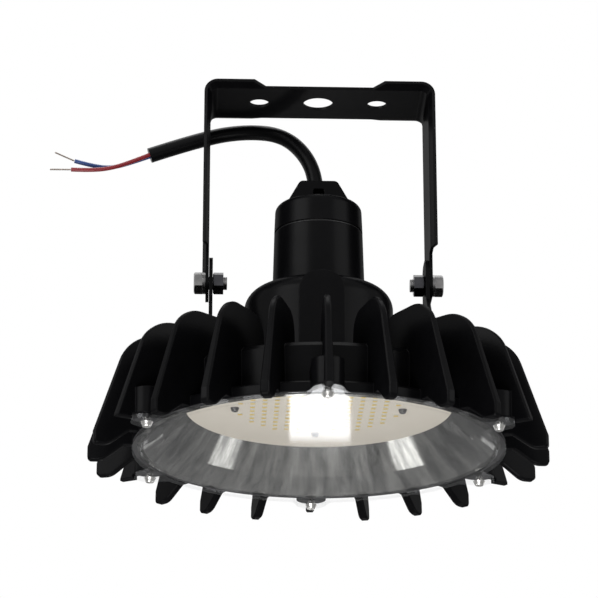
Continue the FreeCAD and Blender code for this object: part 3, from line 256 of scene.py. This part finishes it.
def board_mask():
    """White solder mask of an uneven, faintly warm tone."""
    finish = Finish("board_mask")
    cloud = finish.noise(scale=90.0)
    colour = finish.blend(cloud, (0.80, 0.73, 0.62), (0.86, 0.80, 0.69))
    return finish.surface(Base_Color=colour, Roughness=0.38)


def chip_phosphor():
    """Yellow phosphor in a white moulded frame, on chips that stand CHIP_PITCH apart."""
    finish = Finish("chip_phosphor")
    cloud = finish.noise(scale=600.0)

    def off_centre(letter):
        """How far a point lies from the middle of its chip along one axis."""
        share = finish.maths("FRACT", finish.axis(letter) / CHIP_PITCH)
        return finish.maths("ABSOLUTE", share - 0.5) * CHIP_PITCH

    moulding = finish.maths("MAXIMUM", off_centre("X"), off_centre("Y")) > CHIP_WINDOW
    phosphor = finish.blend(cloud, (0.76, 0.52, 0.06), (0.86, 0.66, 0.14))
    return finish.surface(Base_Color=finish.blend(moulding, phosphor, (0.72, 0.71, 0.66)),
                          Roughness=cloud.between(0.30, 0.45))


def clear_plastic():
    """Clear moulded plastic: a film that mirrors more at a slant and lets the rest through."""
    head_on = 0.03
    more_at_a_slant = 0.45
    finish = Finish("clear_plastic")
    slant = Number(finish, finish.node("LayerWeight", None, {"Blend": 0.5}).outputs["Facing"])
    steep = slant * slant
    return finish.surface(Base_Color=(0.94, 0.95, 0.97), Metallic=1.0, Roughness=0.045,
                          Alpha=steep * steep * slant * more_at_a_slant + head_on)


def rubber(name, tone, low=0.45, high=0.62, shine=0.5):
    """Rubber or dull plastic with a fine grain; low and high are its roughness."""
    finish = Finish(name)
    grain = finish.noise(scale=1500.0, detail=3.0)
    cloud = finish.noise(scale=60.0)
    colour = finish.blend(cloud, darker(tone, 0.8), tone)
    return finish.surface(Base_Color=colour, Roughness=grain.between(low, high),
                          Specular_IOR_Level=shine, Normal=finish.bump(grain, 0.01 * MM))


def insulation(name, tone):
    """Soft coloured wire insulation."""
    finish = Finish(name)
    cloud = finish.noise(scale=220.0)
    colour = finish.blend(cloud, darker(tone, 0.75), tone)
    return finish.surface(Base_Color=colour, Roughness=cloud.between(0.28, 0.42))


def bare_copper():
    """Tinned copper strands, dulled."""
    finish = Finish("bare_copper")
    cloud = finish.noise(scale=900.0, detail=3.0)
    colour = finish.blend(cloud, (0.20, 0.165, 0.145), (0.36, 0.32, 0.29))
    return finish.surface(Base_Color=colour, Metallic=1.0, Roughness=cloud.between(0.22, 0.40))


def driver_laminate():
    """Green circuit board."""
    finish = Finish("driver_laminate")
    cloud = finish.noise(scale=120.0)
    colour = finish.blend(cloud, (0.015, 0.12, 0.04), (0.03, 0.19, 0.07))
    return finish.surface(Base_Color=colour, Roughness=0.4)


FINISHES = {
    "steel paint": black_paint("black_paint_steel", peel=650.0, peel_depth=0.012 * MM, edge=0.5 * MM),
    "cast paint": black_paint("black_paint_cast", peel=480.0, peel_depth=0.03 * MM, edge=0.9 * MM),
    "zinc": zinc_plate("zinc_plate", (0.10, 0.10, 0.105), (0.27, 0.265, 0.26)),
    # a darker copy of the zinc plating, for the tilt nuts: painted shade for the shadow they sit in,
    # not a different plating
    "shaded zinc": zinc_plate("zinc_plate_painted_shade", (0.035, 0.035, 0.04), (0.07, 0.07, 0.075)),
    "steel": bright_steel(),
    "reflector": spun_reflector(),
    "board": board_mask(),
    "chips": chip_phosphor(),
    "clear": clear_plastic(),
    "seal": rubber("seal_rubber", (0.018, 0.018, 0.019)),
    "sheet": rubber("thermal_sheet_rubber", (0.40, 0.40, 0.42)),
    "sheath": rubber("cable_sheath", (0.0045, 0.0045, 0.005), low=0.28, high=0.42, shine=0.08),
    "holder": rubber("holder_plastic", (0.07, 0.07, 0.08)),
    "laminate": driver_laminate(),
    "red": insulation("red_insulation", (0.30, 0.018, 0.026)),
    "blue": insulation("blue_insulation", (0.022, 0.07, 0.26)),
    "copper": bare_copper(),
}

NODE_FINISHES = {
    "steel paint": ["yoke", "left_bracket", "right_bracket"],
    "cast paint": ["heat_sink_housing", "driver_housing", "top_cap"],
    "zinc": ["left_tilt_bolt", "right_tilt_bolt", "left_spring_washer", "right_spring_washer",
             "foot_screws", "led_board_screws"],
    # the tilt nuts take the darker zinc copy, which is painted shade
    "shaded zinc": ["left_tilt_nut", "right_tilt_nut"],
    "steel": ["cover_screws"],
    "reflector": ["reflector"],
    "board": ["led_board"],
    "chips": ["led_chips"],
    "clear": ["clear_cover"],
    "seal": ["cover_seal", "hub_seal", "cap_seal", "cable_bush"],
    "sheet": ["thermal_sheet"],
    "holder": ["driver_holder", "driver_parts"],
    "laminate": ["driver_board"],
    "sheath": ["board_lead"],
}

for finish_name, members in NODE_FINISHES.items():
    for member in members:
        nodes[member].data.materials.clear()
        nodes[member].data.materials.append(FINISHES[finish_name])


# ---- cords --------------------------------------------------------------------------------------
# Control points in millimetres: x, y, and height above the front face of the clear cover.
SHEATH_ROUTE = [(0, 14.6, 157.5), (0, 14.6, 183), (-7, 18, 204), (-22, 25, 220.5),
                (-45, 33, 226), (-72, 36, 222.5), (-107.5, 36, 209.5)]
RED_ROUTE = [(-107.5, 34.5, 209.5), (-119.5, 34, 204), (-131.5, 33, 199.2),
             (-144, 32, 197), (-157.7, 31.5, 197.2)]
RED_TIP_ROUTE = [(-157.9, 31.5, 197.2), (-171.2, 31, 196.9)]
BLUE_ROUTE = [(-107.5, 37.5, 209.5), (-120.5, 37.4, 204.4), (-132.5, 37, 200.8),
              (-144.5, 36.5, 202), (-155.8, 35.5, 204.8)]
BLUE_TIP_ROUTE = [(-156.1, 35.5, 204.9), (-168.5, 34.5, 210.2)]
# Diameters.
SHEATH_SIZE = 9.8 * MM
CORE_SIZE = 2.7 * MM
TIP_SIZE = 1.1 * MM
STRAND_SIZE = TIP_SIZE / 3

OUTER_STRANDS = 6
STRAND_TURNS = 1.25
POINTS_IN_A_TURN = 12


def laid_out(route):
    """The points of a route in metres, in the part's own frame."""
    return [Vector((x * MM, y * MM, COVER_FACE + height * MM)) for x, y, height in route]


def round_wire(name, lines, thickness, finish, body="lamp", round_steps=6, long_steps=12):
    """Round wires in one piece: a smooth spline along each line of control points."""
    data = bpy.data.curves.new(name, "CURVE")
    data.dimensions = "3D"
    data.bevel_depth = thickness / 2
    data.bevel_resolution = round_steps
    data.resolution_u = long_steps
    data.use_fill_caps = True
    for line in lines:
        spline = data.splines.new("NURBS")
        spline.points.add(len(line) - 1)
        for point, spot in zip(spline.points, line):
            point.co = (*spot, 1.0)
        spline.order_u = 3
        spline.use_endpoint_u = True
    data.materials.append(FINISHES[finish])
    wire = add_object(name, data)
    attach(wire, body)
    return wire


def helix(start, end, radius, turns, first_angle=0.0):
    """Points that wind round the line from start to end."""
    along = end - start
    side = along.orthogonal().normalized()
    up = along.normalized().cross(side)
    steps = round(POINTS_IN_A_TURN * turns)
    points = []
    for step in range(steps + 1):
        angle = first_angle + 2 * math.pi * turns * step / steps
        points.append(start + along * step / steps
                      + radius * (math.cos(angle) * side + math.sin(angle) * up))
    return points


def twisted_strands(name, route):
    """Bare strands laid round a middle one, each touching it."""
    start, end = laid_out(route)
    lines = [[start, (start + end) / 2, end]]
    for strand in range(OUTER_STRANDS):
        first_angle = 2 * math.pi * strand / OUTER_STRANDS
        lines.append(helix(start, end, STRAND_SIZE, STRAND_TURNS, first_angle))
    return round_wire(name, lines, STRAND_SIZE, "copper", round_steps=2, long_steps=3)


def make_cords():
    """The cable's sheath, its two cores and their bare ends, in place of their solids."""
    sheath = round_wire("supply_cable_sheath", [laid_out(SHEATH_ROUTE)], SHEATH_SIZE, "sheath")
    red = round_wire("red_core_line", [laid_out(RED_ROUTE)], CORE_SIZE, "red")
    blue = round_wire("blue_core_line", [laid_out(BLUE_ROUTE)], CORE_SIZE, "blue")
    red_end = twisted_strands("red_bare_end", RED_TIP_ROUTE)
    blue_end = twisted_strands("blue_bare_end", BLUE_TIP_ROUTE)
    for piece, node, slot in ((sheath, "supply_cable", "sheath"), (red, "red_core", "core_red"),
                              (blue, "blue_core", "core_blue"), (red_end, "red_tip", "copper"),
                              (blue_end, "blue_tip", "copper")):
        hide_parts(node)


make_cords()


# ---- threads and screw recesses -----------------------------------------------------------------
BOLT_RADIUS = 4.0 * MM
THREAD_PITCH = 1.25 * MM
THREAD_RIDGE = 0.5 * MM

COVER_SCREWS = 6
COVER_SCREW_HEAD = 3.8 * MM
COVER_SCREW_FACE = 2.7 * MM
BOARD_SCREWS = 4
BOARD_SCREW_HEAD = 2.7 * MM
BOARD_SCREW_FACE = 2.0 * MM
FOOT_SCREW_HEAD = 4.5 * MM
FOOT_SCREW_FACE = 3.4 * MM

# A recessed face on a screw head: its top and its cross are shares of its radius.
FACE_HEIGHT = 0.45 * MM
FACE_SIDES = 20
FACE_TOP = 0.88
CROSS_REACH = 0.66
CROSS_HALF_WIDTH = 0.17


def make_threads():
    """The thread that shows past each tilt nut, up to the end of the bolt."""
    for side, hand in ((-1, "left"), (1, "right")):
        bolt = hand + "_tilt_bolt"
        bolt_low, bolt_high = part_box(bolt)
        nut_low, nut_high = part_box(hand + "_tilt_nut")
        bolt_end = bolt_high.x if side < 0 else bolt_low.x
        nut_face = nut_high.x if side < 0 else nut_low.x
        middle = (bolt_low + bolt_high) / 2
        start = Vector((nut_face - side * THREAD_RIDGE, middle.y, middle.z))
        end = Vector((bolt_end + side * THREAD_RIDGE / 2, middle.y, middle.z))
        turns = (end - start).length / THREAD_PITCH
        ridge = helix(start, end, BOLT_RADIUS, turns)
        thread = round_wire(bolt + "_thread", [ridge], THREAD_RIDGE, "zinc", "yoke")


def cross_outline(reach, half):
    """Corners of a cross, going round it."""
    return [(half, reach), (half, half), (reach, half), (reach, -half), (half, -half), (half, -reach),
            (-half, -reach), (-half, -half), (-reach, -half), (-reach, half), (-half, half),
            (-half, reach)]


def recessed_faces(name, places, radius, finish, looks_up=False):
    """Thin faces with a cross recess, one on the head of each screw."""
    form = bmesh.new()
    for place in places:
        rim = bmesh.ops.create_circle(form, cap_ends=False, segments=FACE_SIDES, radius=radius)["verts"]
        corners = cross_outline(CROSS_REACH * radius, CROSS_HALF_WIDTH * radius)
        cross = [form.verts.new((x, y, 0)) for x, y in corners]
        cross_edges = [form.edges.new(pair) for pair in zip(cross[-1:] + cross[:-1], cross)]
        rim_edges = dict.fromkeys(edge for vert in rim for edge in vert.link_edges)
        filled = bmesh.ops.triangle_fill(form, edges=[*cross_edges, *rim_edges],
                                         use_beauty=True)["geom"]
        flat = [item for item in filled if isinstance(item, bmesh.types.BMFace)]
        raised = bmesh.ops.extrude_face_region(form, geom=flat)["geom"]
        upper = [item for item in raised if isinstance(item, bmesh.types.BMVert)]
        bmesh.ops.translate(form, verts=upper, vec=(0, 0, FACE_HEIGHT))
        outer = [vert for vert in upper if math.hypot(vert.co.x, vert.co.y) > FACE_TOP * radius]
        bmesh.ops.scale(form, verts=outer, vec=(FACE_TOP, FACE_TOP, 1.0))
        turn = Matrix.Rotation(0.0 if looks_up else math.pi, 4, "X")
        bmesh.ops.transform(form, matrix=Matrix.Translation(place) @ turn, verts=rim + cross + upper)
    bmesh.ops.recalc_face_normals(form, faces=form.faces)
    piece = add_mesh(name, form, FINISHES[finish])
    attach(piece, "lamp")


def round_places(node, count, head):
    """Middles of heads that look down and stand evenly in a circle, the nearest first."""
    low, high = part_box(node)
    circle = high.y - head
    turns = [2 * math.pi * spot / count for spot in range(count)]
    return [Vector((circle * math.sin(turn), -circle * math.cos(turn), low.z)) for turn in turns]


def corner_places(node, head):
    """Middles of four heads that look up and stand in a rectangle."""
    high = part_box(node)[1]
    across, along = high.x - head, high.y - head
    return [Vector((side * across, flank * along, high.z)) for side in (-1, 1) for flank in (-1, 1)]


def make_recesses():
    """The crosses in the heads of the cover screws, the board screws and the foot screws."""
    recessed_faces("cover_screw_recesses", round_places("cover_screws", COVER_SCREWS, COVER_SCREW_HEAD),
                   COVER_SCREW_FACE, "steel")
    recessed_faces("board_screw_recesses",
                   round_places("led_board_screws", BOARD_SCREWS, BOARD_SCREW_HEAD),
                   BOARD_SCREW_FACE, "zinc")
    recessed_faces("foot_screw_recesses", corner_places("foot_screws", FOOT_SCREW_HEAD),
                   FOOT_SCREW_FACE, "zinc", looks_up=True)


make_threads()
make_recesses()


# ---- camera, light and surroundings -------------------------------------------------------------
# The camera stands this far from the cover's face, in metres, and this much aside and below.
CAMERA_REACH = 1.6541
CAMERA_AZIMUTH = math.radians(-2.50)
CAMERA_DROP = math.radians(16.42)
# From there it looks at the cover's face, turned and tilted by these, through a lens in millimetres.
TURN_SIDEWAYS = math.radians(-0.439)
TILT_UP = math.radians(3.25)
LENS = 163.1
SENSOR_WIDTH = 36.0

FILL_LIGHT = 0.30
FLOOR_DROP = 1.2
FLOOR_REACH = 8
FLOOR_TONE = (0.62, 0.62, 0.62)
CARD_GLOW = 4.2
CARD_DISTANCE = 1.2
CARD_SIDES = (0.021, 0.086)
CARD_DROPS = (0.62, 0.366)  # from the cover's face down to the card's lower and upper edge

LAMP_MIDDLE = (0, 0, -0.15)
COVER_MIDDLE = (0, 0, COVER_FACE)
# Each has a name, a place, a point to shine at, a width, a height and its watts.
SOFTBOXES = [
    ("left_softbox", (-1.3, -1.1, 0.7), LAMP_MIDDLE, 1.2, 1.2, 14.0),
    ("right_softbox", (1.5, -0.9, 0.3), LAMP_MIDDLE, 1.2, 1.2, 8.0),
    ("top_softbox", (0.0, 0.4, 1.5), LAMP_MIDDLE, 1.2, 1.2, 12.0),
    ("low_softbox", (-0.25, -0.9, -1.15), COVER_MIDDLE, 0.8, 0.5, 9.0),
    ("side_softbox", (-0.82, 0.16, COVER_FACE - 0.90), COVER_MIDDLE, 0.30, 0.50, 1.1),
    ("side_softbox", (0.82, 0.16, COVER_FACE - 0.90), COVER_MIDDLE, 0.30, 0.50, 1.1),
]


def make_camera():
    """Low and square on, looking a little up under the heat sink."""
    away = Vector((math.cos(CAMERA_DROP) * math.sin(CAMERA_AZIMUTH),
                   -math.cos(CAMERA_DROP) * math.cos(CAMERA_AZIMUTH), -math.sin(CAMERA_DROP)))
    heading = math.atan2(-away.x, -away.y) + TURN_SIDEWAYS
    rise = CAMERA_DROP + TILT_UP
    view = Vector((math.cos(rise) * math.sin(heading), math.cos(rise) * math.cos(heading),
                   math.sin(rise)))
    data = bpy.data.cameras.new("camera")
    data.lens = LENS
    data.sensor_width = SENSOR_WIDTH
    camera = add_object("camera", data)
    camera.location = Vector(COVER_MIDDLE) + CAMERA_REACH * away
    camera.rotation_euler = view.to_track_quat("-Z", "Y").to_euler()
    bpy.context.scene.camera = camera


def make_world():
    """White where it is looked at, mirrored or seen through, and dimmer as a light."""
    world = bpy.data.worlds.new("studio")
    bpy.context.scene.world = world
    sky = Shader(world, "OutputWorld")
    path = sky.node("LightPath").outputs
    shown = path["Is Camera Ray"]
    for ray in ("Is Transmission Ray", "Is Glossy Ray"):
        shown = sky.maths("MAXIMUM", shown, path[ray])
    fill = sky.node("Background", None, {"Color": WHITE, "Strength": FILL_LIGHT})
    backdrop = sky.node("Background", None, {"Color": WHITE, "Strength": 1.0})
    sky.close(sky.node("MixShader", None, {0: shown, 1: fill.outputs[0], 2: backdrop.outputs[0]}))


def stage_sheet(name, corners, material):
    """A flat four-cornered sheet that is not part of the lamp."""
    form = bmesh.new()
    form.faces.new([form.verts.new(corner) for corner in corners])
    add_mesh(name, form, material)


def make_stage():
    """A pale grey floor far below, and a bright card for the cover and the reflector to mirror."""
    low, reach = COVER_FACE - FLOOR_DROP, FLOOR_REACH
    floor = Finish("studio_floor").surface(Base_Color=FLOOR_TONE, Roughness=0.8)
    stage_sheet("floor", [(-reach, -reach, low), (reach, -reach, low), (reach, reach, low),
                          (-reach, reach, low)], floor)
    left, right = CARD_SIDES
    bottom, top = (COVER_FACE - drop for drop in CARD_DROPS)
    card = Finish("window_card").glow(CARD_GLOW)
    stage_sheet("bright_card", [(left, CARD_DISTANCE, bottom), (right, CARD_DISTANCE, bottom),
                                (right, CARD_DISTANCE, top), (left, CARD_DISTANCE, top)], card)


def make_softboxes():
    """Soft rectangular lamps round the light."""
    for name, spot, aim, width, height, watts in SOFTBOXES:
        data = bpy.data.lights.new(name, "AREA")
        data.shape = "RECTANGLE"
        data.size = width
        data.size_y = height
        data.energy = watts
        lamp = add_object(name, data)
        lamp.location = spot
        lamp.rotation_euler = (Vector(aim) - Vector(spot)).to_track_quat("-Z", "Y").to_euler()


make_camera()
make_world()
make_stage()
make_softboxes()
bpy.context.scene.view_settings.view_transform = "Standard"
